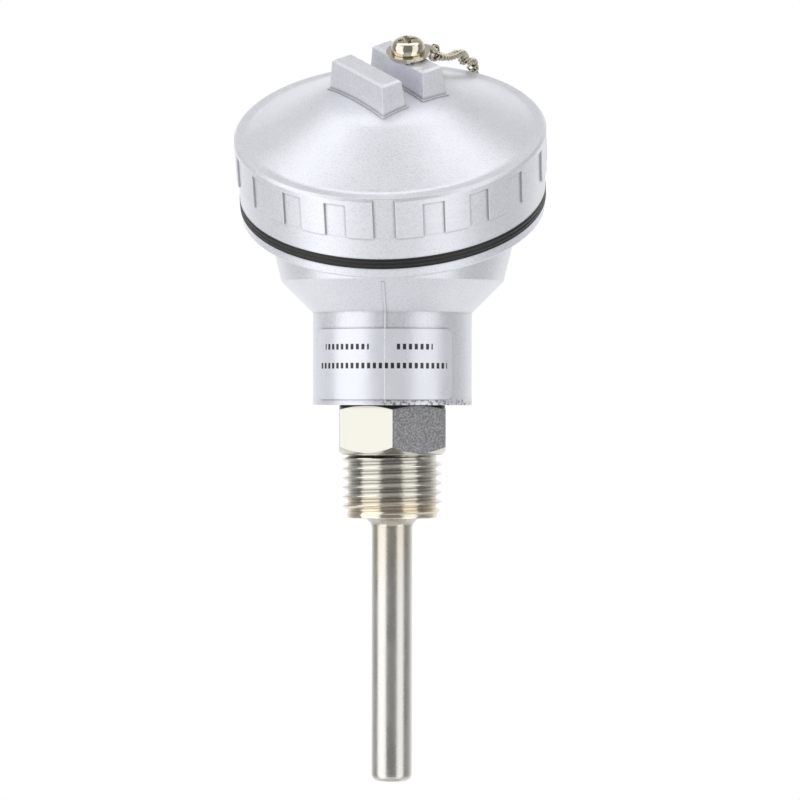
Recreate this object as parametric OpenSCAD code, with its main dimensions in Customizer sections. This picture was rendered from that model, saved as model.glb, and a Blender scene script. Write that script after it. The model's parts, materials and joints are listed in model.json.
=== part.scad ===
// Resistance thermometer with a small inclined connection head.
// Origin on the stem axis, in the plane where the male thread starts under the hex.
// +Z points along the stem towards the head. The cap leans towards -Y, the cable leaves towards +Y.

/* [Stem] */
// Outside diameter of the stem
stem_d = 6.5; // [5:0.1:8]
// Length of the stem below the thread shoulder
stem_len = 52.3; // [35:0.1:400]
// Wall of the stem tube
stem_wall = 0.5; // [0.3:0.1:0.8]
// Edge radius of the closed tip
tip_r = 1.2; // [0.5:0.1:2]

/* [Process fitting] */
// Major diameter of the male thread
thread_d = 16; // [14:1:22]
// Length of the full thread
thread_len = 9; // [7:0.5:20]
// Hexagon size across flats
hex_af = 17; // [17:1:24]
// Height of the hexagon, shoulder to neck
hex_h = 8.3; // [6:0.1:12]
// Turn of the hexagon about the stem
hex_turn = 3; // [0:1:59]

/* [Head casting] */
// Outside diameter of the neck
neck_d = 25.6; // [25:0.1:28]
// Height of the straight neck
neck_h = 14.8; // [14:0.1:20]
// How far the foot of the cup stands inside the cap's edge
cup_inset = 7.1; // [6.5:0.1:8]
// Draft of the cup wall above the cone
cup_draft = 14; // [12:1:16]
// Wall of the cup
cup_wall = 2.5; // [2:0.1:3]
// Lean of the cap axis from the stem axis
tilt = 30; // [28:1:32]
// Height of the cap seat on the stem axis, above the neck's lower end
seat_rise = 35; // [34.5:0.1:36]

/* [Cap] */
// Largest diameter of the cap
cap_d = 50; // [49:0.1:51]
// Height of the cap rim
rim_h = 10.5; // [10:0.1:12]
// Number of teeth in the rim relief
tooth_count = 20; // [16:1:24]
// Height of the relief
relief = 0.35; // [0.2:0.05:0.5]
// Slope of the dome's skirt
skirt_slope = 27; // [25:1:29]
// Length of a wrench bar at its top
bar_len = 13.3; // [12:0.1:15]
// Width of a wrench bar at its top
bar_w = 3.7; // [3:0.1:4]
// Distance between the middles of the wrench bars
bar_pitch = 7.95; // [7.5:0.05:8.5]
// Height of the wrench bars above the rim
bar_rise = 11.7; // [11:0.1:13]
// Turn of the wrench bars about the cap axis
bar_turn = -49; // [-60:1:-40]

/* [Chain] */
// Wire thickness of a link
link_wire = 0.44; // [0.4:0.02:0.5]
// Spacing of the links
link_pitch = 1.12; // [1.1:0.01:1.16]

/* [Cable entry] */
// Outside diameter of the cable boss
boss_d = 18; // [17:0.5:19]
// Reach of the cable boss behind the stem axis
boss_reach = 32; // [30:0.5:36]
// Bore of the rubber grommet
grommet_bore = 5; // [3:0.5:6]

/* [Hidden] */
$fn = 96;
EPS = 0.01;
// Radial clearance of pieces that are screwed or pushed together and stay
FIT = 0.05;
// Clearance of pieces that turn on each other
RUN = 0.3;

// Heights on the stem axis
neck_z = hex_h;
cone_z = neck_z + neck_h;
neck_r = neck_d / 2;
cup_r = cap_d / 2 - cup_inset;
// The cone between neck and cup slopes at 45 degrees
cup_z = cone_z + cup_r - neck_r;
seat_z = neck_z + seat_rise;
stem_r = stem_d / 2;
thread_r = thread_d / 2;
thread_end = -thread_len;
runout_h = 0.85;
fitting_end = thread_end - runout_h;
spigot_h = 10;
weld_h = 1.5;
weld_end = fitting_end - weld_h;
// The stem's upper end is turned down to this radius and seats in the fitting
seat_r = stem_r - stem_wall / 2;

// Cap frame: w along the cap axis, 0 at the rim's lower face
gasket_t = 1.7;
flange_t = 1.9;
flange_r = cap_d / 2 - 0.5;
gasket_r = flange_r + 0.2;
// The gasket lies this far from the flange and from the rim
gasket_play = 0.03;
rim_r = cap_d / 2 - relief;
collar_r = rim_r - 3.15;
collar_top = 6.2;
chamber_r = collar_r - 2.6;
cap_bore_r = collar_r + RUN;

// Dome: crown arc, shoulder arc and straight skirt, tangent to each other
dome_base_r = rim_r - 1.65;
crown_r = 60;
crown_edge = 8;
shoulder_r = 12;
crown_a = asin(crown_edge / crown_r);
skirt_r = crown_edge + shoulder_r * (sin(skirt_slope) - sin(crown_a));
skirt_h = (dome_base_r - skirt_r) * tan(skirt_slope);
shoulder_h = skirt_h + shoulder_r * (cos(crown_a) - cos(skirt_slope));
dome_h = shoulder_h + crown_r * (1 - cos(crown_a));
dome_wall = 2.2;
bar_top = rim_h + bar_rise;
bar_draft = 5;
ledge_w = 0.35;
ledge_h = 0.2;

// Cap screw, washer, lug and chain sit at the middle of the rear bar
screw_shift = 0.4;
screw_u = screw_shift * cos(bar_turn) - bar_pitch / 2 * sin(bar_turn);
screw_v = screw_shift * sin(bar_turn) + bar_pitch / 2 * cos(bar_turn);
lug_t = 0.5;
washer_t = 0.5;
chain_azimuth = 60;
lug_fold = 4.4;
lug_drop = 40;

// Cable boss and its gland
boss_z = cup_z + 10;
boss_r = boss_d / 2;
gland_r = 6;
gland_depth = 11;
gland_seat = boss_reach - gland_depth;
grommet_len = 5;
gland_bore_r = grommet_bore / 2 + 0.8;
gland_af = 2 * gland_r + 2;
gland_head_h = 5;

// Chamber floor, terminal block and its strips
floor_z = cup_z;
core_r = 9;
block_y = 1.5;
block_r = 12.5;
block_h = 6.5;
block_top = floor_z + block_h;
block_screw_x = [-8, 8];
block_screw_y = -4.5;
lead_hole_y = -4.5;
strip_pitch = 6.5;
bar_spots = [-strip_pitch, 0, strip_pitch];
strip_w = 4.4;
strip_h = 3;
strip_sink = 1;
strip_len = 9.4;
strip_top = block_top - strip_sink + strip_h;
bar_y = 0.4;
screw_inset = 2.3;
screw_spots = [bar_y + screw_inset, bar_y + strip_len - screw_inset];
// The inner row of washers stands on the lead wires
clamp_lift = [0.95, 0];

// Small screws: shank, tapped hole, and the pan heads on the cap and on the anchor
small_r = 1.25;
small_hole_r = 1.3;
cap_head_r = 2.7;
cap_head_h = 2;
cap_shank = 5.5;
cap_washer_r = 3.5;
anchor_head_r = 2.5;
anchor_head_h = 1.8;
anchor_shank = 4.5;

// Inside of the stem
tube_top = 6;
seal_r = 4.5;
seal_h = 3.5;
element_r = 1.4;
element_len = 15;
element_z = -stem_len + 1.8;
insulator_r = stem_r - stem_wall - 0.3;
lead_r = 0.4;
lead_beside = 1.75;
lead_spots = [for (a = [210, 90, 330]) [1.15 * cos(a), 1.15 * sin(a)]];

// Rim relief
tooth_phase = 11;
tooth_len = 6.8;
band_h = 1.25;
rim_break = 0.4;
recess_r = rim_r + 0.03;
parting_rise = 0.12;

// Chain and its anchor behind the head
lug_reach = 3.1;
eye_r = 0.7;
link_r = 0.82;
jump_r = 1.2;
hang_sag = 5;
anchor_azimuth = 42;
anchor_z = cup_z + 11.8;
pad_rise = 1.95;
anchor_face = cup_r + (anchor_z - cup_z) * tan(cup_draft) + pad_rise;
anchor_fold = 3.2;
anchor_drop = 10;
pad_r = 3.2;

// Label on the front of the neck
label_start = -151;
label_angle = 113;
label_z = neck_z + 0.9;
label_h = 11.2;

function unit(v) = v / norm(v);

function arc(cx, cy, r, a0, a1, n) =
    [for (i = [0:n]) let (a = a0 + (a1 - a0) * i / n) [cx + r * cos(a), cy + r * sin(a)]];

module cap_frame() {
    translate([0, 0, seat_z]) rotate([tilt, 0, 0]) children();
}

module ring(r_out, r_in, h) {
    difference() {
        cylinder(r = r_out, h = h);
        translate([0, 0, -1]) cylinder(r = r_in, h = h + 2);
    }
}

// Body of revolution of the casting, at a distance inset inside its outer face
module casting_shell(inset, z0, z1) {
    function wall_r(z) = z <= cone_z ? neck_r
        : z <= cup_z ? neck_r + z - cone_z
        : cup_r + (z - cup_z) * tan(cup_draft);
    levels = concat([z0], [for (z = [cone_z, cup_z]) if (z > z0 && z < z1) z], [z1]);
    rotate_extrude() polygon(concat(
        [[0, z0]],
        [for (z = levels) [wall_r(z) - inset, z]],
        [[0, z1]]
    ));
}

module cup_outer() {
    top = seat_z + 14;
    casting_shell(0, neck_z, cup_z);
    intersection() {
        casting_shell(0, cup_z - EPS, top);
        cap_frame() translate([0, 0, -cap_d]) cylinder(r = flange_r - 1, h = cap_d - gasket_t - flange_t / 2);
    }
}

module seat_flange() {
    cap_frame() {
        translate([0, 0, -gasket_t - flange_t]) rotate_extrude() polygon([
            [0, 0], [flange_r - 0.4, 0], [flange_r, 0.4],
            [flange_r, flange_t], [0, flange_t]
        ]);
        translate([0, 0, -gasket_t - EPS]) rotate_extrude() polygon([
            [0, 0], [collar_r, 0], [collar_r, gasket_t + collar_top - 0.6],
            [collar_r - 0.6, gasket_t + collar_top], [0, gasket_t + collar_top]
        ]);
    }
}

module chamber() {
    intersection() {
        casting_shell(cup_wall * 1.15, floor_z, seat_z + 14);
        cap_frame() translate([0, 0, -cap_d]) cylinder(r = chamber_r, h = cap_d - gasket_t);
    }
    cap_frame() translate([0, 0, -gasket_t - flange_t]) cylinder(r = chamber_r, h = 20);
    // Cored neck between the thread and the chamber floor
    translate([0, 0, neck_z + spigot_h + 2]) rotate_extrude() polygon([
        [0, 0], [thread_r + FIT, 0], [core_r, core_r - thread_r], [core_r, floor_z], [0, floor_z]
    ]);
}

module cable_boss() {
    translate([0, cup_r - 4, boss_z]) rotate([-90, 0, 0]) rotate_extrude() polygon([
        [0, 0], [boss_r, 0], [boss_r, boss_reach - cup_r + 3.4],
        [boss_r - 0.6, boss_reach - cup_r + 4], [0, boss_reach - cup_r + 4]
    ]);
}

module boss_bores() {
    translate([0, gland_seat, boss_z]) rotate([-90, 0, 0]) cylinder(r = gland_r, h = gland_depth + 1);
    translate([0, 10, boss_z]) rotate([-90, 0, 0]) cylinder(r = 4.2, h = gland_seat - 10 + EPS);
}

module anchor_frame() {
    rotate([0, 0, anchor_azimuth]) translate([anchor_face, 0, anchor_z]) rotate([0, 90, 0]) children();
}

// Thin raised line that the two halves of the die leave on the front and the back
module parting_line() {
    for (a = [-90, 90]) rotate([0, 0, a - 0.7])
        rotate_extrude(angle = 1.4) polygon([
            [neck_r - 1, neck_z + 0.4], [neck_r + parting_rise, neck_z + 0.4],
            [neck_r + parting_rise, cone_z], [cup_r - 0.6 + parting_rise, cup_z - 0.6],
            [neck_r - 1, cup_z - 0.6]
        ]);
}

module head_housing() {
    color("lightsteelblue") difference() {
        union() {
            cup_outer();
            seat_flange();
            cable_boss();
            parting_line();
            anchor_frame() translate([0, 0, -8]) cylinder(r = pad_r, h = 8);
        }
        chamber();
        boss_bores();
        translate([0, 0, neck_z - 1]) cylinder(r = thread_r + FIT, h = spigot_h + 3 + EPS);
        anchor_frame() translate([0, 0, -4.5]) cylinder(r = small_hole_r, h = 5);
        for (x = block_screw_x)
            translate([x, block_screw_y, floor_z - 4.5]) cylinder(r = small_hole_r, h = 5);
    }
}

// Hexagon with a washer face below and both ends chamfered, standing from height 0
module chamfered_hexagon(across_flats, height, face_r, face_h, low_slope, top_slope) {
    corner_r = across_flats / 2 / cos(30);
    reach = corner_r + 0.5;
    top_r = across_flats / 2 - 0.2;
    intersection() {
        cylinder(r = corner_r, h = height, $fn = 6);
        rotate_extrude() polygon([
            [0, 0], [face_r, 0], [face_r, face_h], [reach, face_h + (reach - face_r) * tan(low_slope)],
            [reach, height - (reach - top_r) * tan(top_slope)], [top_r, height], [0, height]
        ]);
    }
}

module process_fitting() {
    color("silver") difference() {
        union() {
            rotate([0, 0, hex_turn - 90]) chamfered_hexagon(hex_af, hex_h, thread_r + 0.15, 0.45, 35, 26);
            translate([0, 0, hex_h - 1]) cylinder(r = thread_r, h = spigot_h + 1);
            rotate_extrude() polygon([
                [0, 1], [thread_r, 1], [thread_r, thread_end], [thread_r - runout_h, fitting_end],
                [0, fitting_end]
            ]);
        }
        rotate_extrude() polygon([
            [0, fitting_end - 1], [seat_r + FIT, fitting_end - 1], [seat_r + FIT, tube_top],
            [seal_r + FIT, tube_top], [seal_r + FIT, hex_h + spigot_h + 1], [0, hex_h + spigot_h + 1]
        ]);
    }
}

module weld_bead() {
    color("silver") translate([0, 0, fitting_end]) rotate_extrude() polygon([
        [seat_r + FIT, 0], [stem_r + 1.2, 0], [stem_r + 1.1, -0.35], [stem_r + 0.55, -0.95],
        [stem_r + 0.05, -weld_h], [seat_r + FIT, -weld_h]
    ]);
}

module sheath_tube() {
    bottom = -stem_len;
    color("silver") rotate_extrude() polygon(concat(
        [[0, bottom]],
        arc(stem_r - tip_r, bottom + tip_r, tip_r, -90, 0, 6),
        [[stem_r, weld_end], [seat_r, weld_end], [seat_r, tube_top], [stem_r - stem_wall, tube_top]],
        [[stem_r - stem_wall, bottom + 1.4], [stem_r - stem_wall - 0.8, bottom + 0.8]],
        [[0, bottom + 0.8]]
    ));
}

module sensing_element() {
    color("white") translate([0, 0, element_z]) cylinder(r = element_r, h = element_len);
}

module insulator() {
    z0 = element_z + element_len + 0.5;
    color("white") difference() {
        translate([0, 0, z0]) cylinder(r = insulator_r, h = tube_top - 0.5 - z0);
        for (p = lead_spots) translate([p.x, p.y, z0 - 1]) cylinder(r = lead_r + 0.1, h = 2 * stem_len);
    }
}

module end_seal() {
    color("dimgray") difference() {
        translate([0, 0, tube_top + 0.05]) cylinder(r = seal_r, h = seal_h);
        for (p = lead_spots) translate([p.x, p.y, tube_top - 1]) cylinder(r = lead_r + FIT, h = seal_h + 2);
    }
}

// Round wire swept through a list of points, its rings turned as little as the bends allow
module wire(points, r) {
    last = len(points) - 1;
    sides = 8;
    along = [for (i = [0:last]) unit(points[min(i + 1, last)] - points[max(i - 1, 0)])];
    across = [for (i = 0, a = [1, 0, 0]; i <= last; i = i + 1, a = unit(a - (a * along[min(i, last)])
        * along[min(i, last)])) a];
    rings = [for (i = [0:last], k = [0:sides - 1]) let (t = 360 * (k + 0.5) / sides)
        points[i] + r * (cos(t) * across[i] + sin(t) * cross(along[i], across[i]))];
    walls = [for (i = [0:last - 1], k = [0:sides - 1])
        [i * sides + k, i * sides + (k + 1) % sides, (i + 1) * sides + (k + 1) % sides, (i + 1) * sides + k]];
    polyhedron(rings, concat(
        [[for (k = [sides - 1:-1:0]) k]], walls, [[for (k = [0:sides - 1]) last * sides + k]]
    ));
}

module lead_wires() {
    colours = ["red", "red", "white"];
    for (i = [0:2]) {
        p = lead_spots[i];
        clamp_x = bar_spots[i] - lead_beside;
        color(colours[i]) wire([
            [p.x, p.y, element_z + element_len], [p.x, p.y, tube_top + seal_h + 1],
            [p.x, p.y - 0.8, tube_top + seal_h + 5], [p.x, lead_hole_y + 0.6, floor_z - 6],
            [p.x, lead_hole_y, floor_z - 3], [p.x, lead_hole_y, block_top],
            [p.x * 0.9 + clamp_x * 0.1, lead_hole_y + 0.3, block_top + 2],
            [(p.x + clamp_x) / 2, lead_hole_y + 1.1, block_top + 3.4],
            [clamp_x * 0.9 + p.x * 0.1, bar_y - 2.2, block_top + 3.4],
            [clamp_x, bar_y - 0.9, block_top + 2.9],
            [clamp_x, bar_y + 0.2, strip_top + lead_r + FIT],
            [clamp_x, bar_y + screw_inset + 1.2, strip_top + lead_r + FIT]
        ], lead_r);
    }
}

module terminal_block() {
    color("sienna") difference() {
        union() {
            translate([0, block_y, floor_z]) cylinder(r = block_r, h = block_h);
            intersection() {
                translate([0, block_y, floor_z]) cylinder(r = block_r, h = block_h + 4);
                for (x = [-1.5, -0.5, 0.5, 1.5]) translate([x * strip_pitch - 0.5, bar_y - 0.5, floor_z])
                    cube([1, strip_len + 1, block_h + 3]);
            }
        }
        for (x = bar_spots) translate([x - strip_w / 2 - FIT, bar_y - FIT, block_top - strip_sink])
            cube([strip_w + 2 * FIT, strip_len + 2 * FIT, 10]);
        for (x = bar_spots, y = screw_spots)
            translate([x, y, block_top - strip_sink - 2.5]) cylinder(r = small_r + 0.2, h = 5);
        translate([0, lead_hole_y, floor_z - 1]) cylinder(r = 2.6, h = block_h + 2);
        for (x = block_screw_x) translate([x, block_screw_y, floor_z - 1]) {
            cylinder(r = small_r + 0.2, h = block_h + 2);
            translate([0, 0, block_h - 1]) cylinder(r = 2.6, h = 3);
        }
    }
}

module terminal_bars() {
    color("goldenrod") for (x = bar_spots) difference() {
        translate([x - strip_w / 2, bar_y, block_top - strip_sink]) cube([strip_w, strip_len, strip_h]);
        for (y = screw_spots) translate([x, y, floor_z]) cylinder(r = small_r + FIT, h = 20);
    }
}

module clamp_washers() {
    color("silver") for (x = bar_spots, i = [0, 1])
        translate([x, screw_spots[i], strip_top + clamp_lift[i]]) ring(2.45, small_r + 0.2, 0.5);
}

// Slotted cheese head screw, head underside at height 0
module slotted_screw(head_r, head_h, shank) {
    difference() {
        union() {
            translate([0, 0, -shank]) cylinder(r = small_r, h = shank + EPS);
            rotate_extrude() polygon([
                [0, 0], [head_r, 0], [head_r, head_h - 0.3], [head_r - 0.3, head_h], [0, head_h]
            ]);
        }
        translate([-head_r - 1, -0.35, head_h - 0.8]) cube([2 * head_r + 2, 0.7, 2]);
    }
}

module terminal_screws() {
    color("silver") for (x = bar_spots, i = [0, 1])
        translate([x, screw_spots[i], strip_top + clamp_lift[i] + 0.5]) rotate([0, 0, 25 + 40 * i + 3 * x])
            slotted_screw(2.3, 1.5, strip_h + clamp_lift[i] + 1.5);
}

module block_screws() {
    color("silver") for (x = block_screw_x)
        translate([x, block_screw_y, block_top - 1]) rotate([0, 0, 10 * x])
            slotted_screw(2.4, 1.6, block_h + 2.5);
}

module cap_gasket() {
    color("black") cap_frame() translate([0, 0, gasket_play - gasket_t])
        ring(gasket_r, cap_bore_r + RUN, gasket_t - 2 * gasket_play);
}

// Outer profile of the dome from the skirt's foot to the middle, or the same profile inset by a wall
function dome_profile(wall) = concat(
    arc(crown_edge - shoulder_r * sin(crown_a), rim_h + shoulder_h - shoulder_r * cos(crown_a),
        shoulder_r - wall, 90 - skirt_slope, 90 - crown_a, 8),
    arc(0, rim_h + dome_h - crown_r, crown_r - wall, 90 - crown_a * 0.8, 90, 4)
);

module cap_shell() {
    foot = 2;
    foot_reach = foot * tan(skirt_slope / 2);
    inner_foot = (dome_base_r - cap_bore_r) * tan(skirt_slope) - dome_wall / cos(skirt_slope);
    inside = dome_profile(dome_wall);
    rotate_extrude() polygon(concat(
        [[cap_bore_r, 0], [rim_r, 0], [rim_r, rim_h - tooth_len], [cap_d / 2, rim_h - tooth_len]],
        [[cap_d / 2, rim_h - rim_break], [cap_d / 2 - rim_break, rim_h]],
        arc(dome_base_r + foot_reach, rim_h + foot, foot, -90, -90 - skirt_slope, 4),
        dome_profile(0),
        [for (i = [len(inside) - 1:-1:0]) inside[i]],
        [[cap_bore_r, rim_h + inner_foot]]
    ));
}

// Recesses between the teeth of the rim relief. One of them is open to the rim's top edge.
module rim_recesses() {
    pitch = 360 / tooth_count;
    gap = pitch * 0.45;
    first = tooth_phase - 90 + pitch / 2 - gap / 2;
    for (i = [0:tooth_count - 1]) {
        open_end = i == tooth_count - 1;
        rotate([0, 0, first + i * pitch]) rotate_extrude(angle = gap) polygon([
            [recess_r, rim_h - tooth_len - 1], [cap_d, rim_h - tooth_len - 1],
            [cap_d, rim_h + (open_end ? 1 : -band_h)], [recess_r, rim_h + (open_end ? 1 : -band_h)]
        ]);
    }
}

// Block with all four sides drafted and its edges broken, standing from low up to high
module drafted_bar(len_top, w_top, low, high) {
    spread = (high - low) * tan(bar_draft);
    brk = 0.3;
    function side(half, k) = [
        [-half - k * spread, low], [half + k * spread, low], [half + k * brk * tan(bar_draft), high - brk],
        [half - brk, high], [brk - half, high], [-half - k * brk * tan(bar_draft), high - brk]
    ];
    diagonal = (len_top + w_top) / 2 / sqrt(2) - brk / 2;
    intersection() {
        rotate([90, 0, 0]) linear_extrude(40, center = true) polygon(side(len_top / 2, 1));
        rotate([90, 0, 90]) linear_extrude(40, center = true) polygon(side(w_top / 2, 1));
        for (a = [45, -45]) rotate([0, 0, a]) rotate([90, 0, 0])
            linear_extrude(40, center = true) polygon(side(diagonal, sqrt(2)));
    }
}

// Low ledge that the die leaves on the dome round the foot of a bar
module bar_ledge() {
    spread = 2 * (bar_rise - dome_h) * tan(bar_draft) + 2 * ledge_w;
    buried = dome_profile(dome_wall / 2);
    intersection() {
        translate([-(bar_len + spread) / 2, -(bar_w + spread) / 2, rim_h])
            cube([bar_len + spread, bar_w + spread, dome_h + 1]);
        translate([0, bar_pitch / 2, 0]) rotate_extrude() polygon(concat(
            dome_profile(-ledge_h), [for (i = [len(buried) - 1:-1:0]) buried[i]]
        ));
    }
}

module screw_cap() {
    bar_foot = rim_h + dome_h - 2.4;
    color("lightsteelblue") cap_frame() difference() {
        union() {
            cap_shell();
            for (turn = [0, 180]) rotate([0, 0, bar_turn + turn]) translate([0, -bar_pitch / 2, 0]) {
                drafted_bar(bar_len, bar_w, bar_foot, bar_top);
                bar_ledge();
            }
        }
        rim_recesses();
        translate([screw_u, screw_v, bar_top - 5.5]) cylinder(r = small_hole_r, h = 7);
    }
}

// Ring with a tab along +X that is folded down at the distance fold and ends in an eye
module eyelet(fold, drop, reach) {
    half = 1.2;
    difference() {
        union() {
            cylinder(r = 2.9, h = lug_t);
            translate([0, -half, 0]) cube([fold, 2 * half, lug_t]);
            translate([fold, 0, lug_t]) rotate([0, drop, 0]) translate([0, 0, -lug_t]) {
                translate([0, -half, 0]) cube([reach, 2 * half, lug_t]);
                translate([reach, 0, 0]) cylinder(r = half, h = lug_t);
            }
        }
        translate([0, 0, -1]) cylinder(r = small_r + 0.15, h = 3);
        translate([fold, 0, lug_t]) rotate([0, drop, 0]) translate([reach, 0, -2])
            cylinder(r = eye_r, h = 4);
    }
}

// Middle of the eye in the eyelet's own frame
function eye(fold, drop, reach) = [
    fold + reach * cos(drop) - lug_t / 2 * sin(drop), 0,
    lug_t - reach * sin(drop) - lug_t / 2 * cos(drop)
];

module at_cap_screw() {
    cap_frame() translate([screw_u, screw_v, bar_top]) children();
}

module cap_lug() {
    color("khaki") at_cap_screw() rotate([0, 0, chain_azimuth]) eyelet(lug_fold, lug_drop, lug_reach);
}

module cap_washer() {
    color("khaki") at_cap_screw() translate([0, 0, lug_t]) ring(cap_washer_r, small_r + 0.15, washer_t);
}

// Cross-recess pan head screw, head underside at height 0
module pan_screw(head_r, head_h, shank) {
    difference() {
        union() {
            translate([0, 0, -shank]) cylinder(r = small_r, h = shank + EPS);
            rotate_extrude() polygon(concat(
                [[0, 0], [head_r - 0.2, 0], [head_r, 0.2], [head_r, head_h * 0.35]],
                arc(head_r - head_h * 0.65, head_h * 0.35, head_h * 0.65, 20, 90, 6),
                [[0, head_h]]
            ));
        }
        for (a = [0, 90]) rotate([0, 0, a]) translate([-0.75 * head_r, -0.4, head_h - 1])
            cube([1.5 * head_r, 0.8, 2]);
    }
}

module cap_screw() {
    color("khaki") at_cap_screw() translate([0, 0, lug_t + washer_t]) rotate([0, 0, 20])
        pan_screw(cap_head_r, cap_head_h, cap_shank);
}

module anchor_lug() {
    color("khaki") anchor_frame() eyelet(anchor_fold, anchor_drop, lug_reach);
}

module anchor_screw() {
    color("khaki") anchor_frame() translate([0, 0, lug_t])
        pan_screw(anchor_head_r, anchor_head_h, anchor_shank);
}

// Chain route: over the dome in the plane of the cap lug, down the rim, then hanging to the anchor
function cap_point(u, v, w) =
    [u, v * cos(tilt) - w * sin(tilt), seat_z + v * sin(tilt) + w * cos(tilt)];
function chain_point(q, w) =
    cap_point(screw_u + q * cos(chain_azimuth), screw_v + q * sin(chain_azimuth), rim_h + w);
function spline(a, b, c, d, t) =
    0.5 * (2 * b + (c - a) * t + (2 * a - 5 * b + 4 * c - d) * t * t + (3 * b - a - 3 * c + d) * t * t * t);

// Distance from the cap screw at which the chain hangs clear of the rim
chain_clear = 1.4;
screw_along = screw_u * cos(chain_azimuth) + screw_v * sin(chain_azimuth);
screw_across = screw_u * sin(chain_azimuth) - screw_v * cos(chain_azimuth);
rim_q = sqrt(pow(cap_d / 2 + chain_clear, 2) - pow(screw_across, 2)) - screw_along;
cap_eye = eye(lug_fold, lug_drop, lug_reach);
start_dir = [cos(-42), sin(-42)];
start_q = [cap_eye.x, bar_rise + cap_eye.z] + (jump_r - 0.3) * start_dir;
first_q = start_q + (jump_r + link_r - link_wire - 0.1) * start_dir;
anchor_eye = eye(anchor_fold, anchor_drop, lug_reach);
anchor_out = [cos(anchor_azimuth), sin(anchor_azimuth), 0];
anchor_hole = (anchor_face + anchor_eye.z) * anchor_out + [0, 0, anchor_z - anchor_eye.x];
end_ring = anchor_hole - [0, 0, jump_r - 0.3];
last_link = end_ring - [0.25, -0.35, jump_r + link_r - link_wire - 0.15];
hang_top = chain_point(rim_q + 0.2, -rim_h - gasket_t - flange_t);
route = concat(
    [for (p = [
        first_q, [rim_q - 12.5, 7.3], [rim_q - 10.7, 6.6], [rim_q - 8.7, 6], [rim_q - 7, 5.6],
        [rim_q - 5.8, 5], [rim_q - 4.8, 4.1], [rim_q - 3.9, 3], [rim_q - 2.8, 2.05], [rim_q - 1.3, 1.55],
        [rim_q - 0.35, 0.8], [rim_q, -0.3], [rim_q, -rim_h / 2], [rim_q + 0.1, -rim_h]
    ]) chain_point(p.x, p.y)],
    [for (t = [0:0.125:1]) (1 - t) * hang_top + t * last_link - [0, 0, 4 * hang_sag * t * (1 - t)]]
);
path = concat([for (i = [0:len(route) - 2], k = [0:5]) spline(
    route[max(i - 1, 0)], route[i], route[i + 1], route[min(i + 2, len(route) - 1)], k / 6
)], [route[len(route) - 1]]);
path_end = len(path) - 1;
run = [for (i = 0, s = 0; i <= path_end; s = s + norm(path[min(i + 1, path_end)] - path[i]), i = i + 1) s];
run_len = run[path_end];
link_count = 2 * ceil((run_len / link_pitch) / 2) + 1;
function on_path(s) = [for (k = [0:2]) lookup(s, [for (i = [0:path_end]) [run[i], path[i][k]]])];

// Round link: middle, direction of the chain, a direction across it, and the turn about the chain
module link(middle, along, across, turn, radius, wire) {
    side = unit(across - (across * along) * along);
    normal = cos(turn) * side + sin(turn) * cross(along, side);
    third = cross(normal, along);
    multmatrix([
        [along.x, third.x, normal.x, middle.x],
        [along.y, third.y, normal.y, middle.y],
        [along.z, third.z, normal.z, middle.z],
        [0, 0, 0, 1]
    ]) rotate_extrude($fn = 36) translate([radius, 0]) circle(d = wire, $fn = 6);
}

module chain_links() {
    across = [-sin(chain_azimuth), cos(chain_azimuth) * cos(tilt), cos(chain_azimuth) * sin(tilt)];
    start = chain_point(start_q.x, start_q.y);
    color("khaki") {
        link(start, unit(route[0] - start), across, 0, jump_r, link_wire);
        for (i = [0:link_count - 1]) {
            s = i * run_len / (link_count - 1);
            along = unit(on_path(min(s + 0.3, run_len)) - on_path(max(s - 0.3, 0)));
            link(on_path(s), along, across, i % 2 == 0 ? 90 : 0, link_r, link_wire);
        }
        link(end_ring, [0, 0, 1], cross([0, 0, 1], anchor_out), 0, jump_r, link_wire);
    }
}

module gland_frame() {
    translate([0, gland_seat, boss_z]) rotate([-90, 0, 0]) children();
}

module gland_grommet() {
    color("black") gland_frame() ring(gland_r - RUN / 2, grommet_bore / 2, grommet_len);
}

module gland_washer() {
    color("silver") gland_frame() translate([0, 0, grommet_len]) ring(gland_r - RUN, gland_bore_r, 1);
}

module gland_nut() {
    stub = gland_depth - grommet_len - 1;
    color("lightsteelblue") gland_frame() translate([0, 0, grommet_len + 1]) difference() {
        union() {
            cylinder(r = gland_r - 0.08, h = stub + 1);
            translate([0, 0, stub + 0.5])
                chamfered_hexagon(gland_af, gland_head_h, gland_af / 2 - 0.2, 0.2, 30, 30);
        }
        translate([0, 0, -1]) cylinder(r = gland_bore_r, h = stub + gland_head_h + 3);
    }
}

module label_film() {
    color("white") rotate([0, 0, label_start]) rotate_extrude(angle = label_angle)
        translate([neck_r + parting_rise + 0.02, label_z]) square([0.1, label_h]);
}

head_housing();
process_fitting();
weld_bead();
sheath_tube();
sensing_element();
insulator();
end_seal();
lead_wires();
terminal_block();
terminal_bars();
clamp_washers();
terminal_screws();
block_screws();
cap_gasket();
screw_cap();
cap_washer();
cap_lug();
cap_screw();
chain_links();
anchor_lug();
anchor_screw();
gland_grommet();
gland_washer();
gland_nut();
label_film();
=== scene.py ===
# %% [markdown]
# # A resistance thermometer with a small leaning head
#
# The real thing is a steel stem welded to a threaded fitting, with a die-cast head screwed on top.
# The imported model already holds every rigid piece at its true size. This lesson dresses it: real
# threads, a twisted chain, a foil label, and a finish for each metal. The frame is in metres, with
# its origin on the stem axis at the shoulder above the thread, and +Z towards the head.

import json
import math

import bmesh
import bpy
import numpy as np
from mathutils import Matrix, Vector


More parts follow.
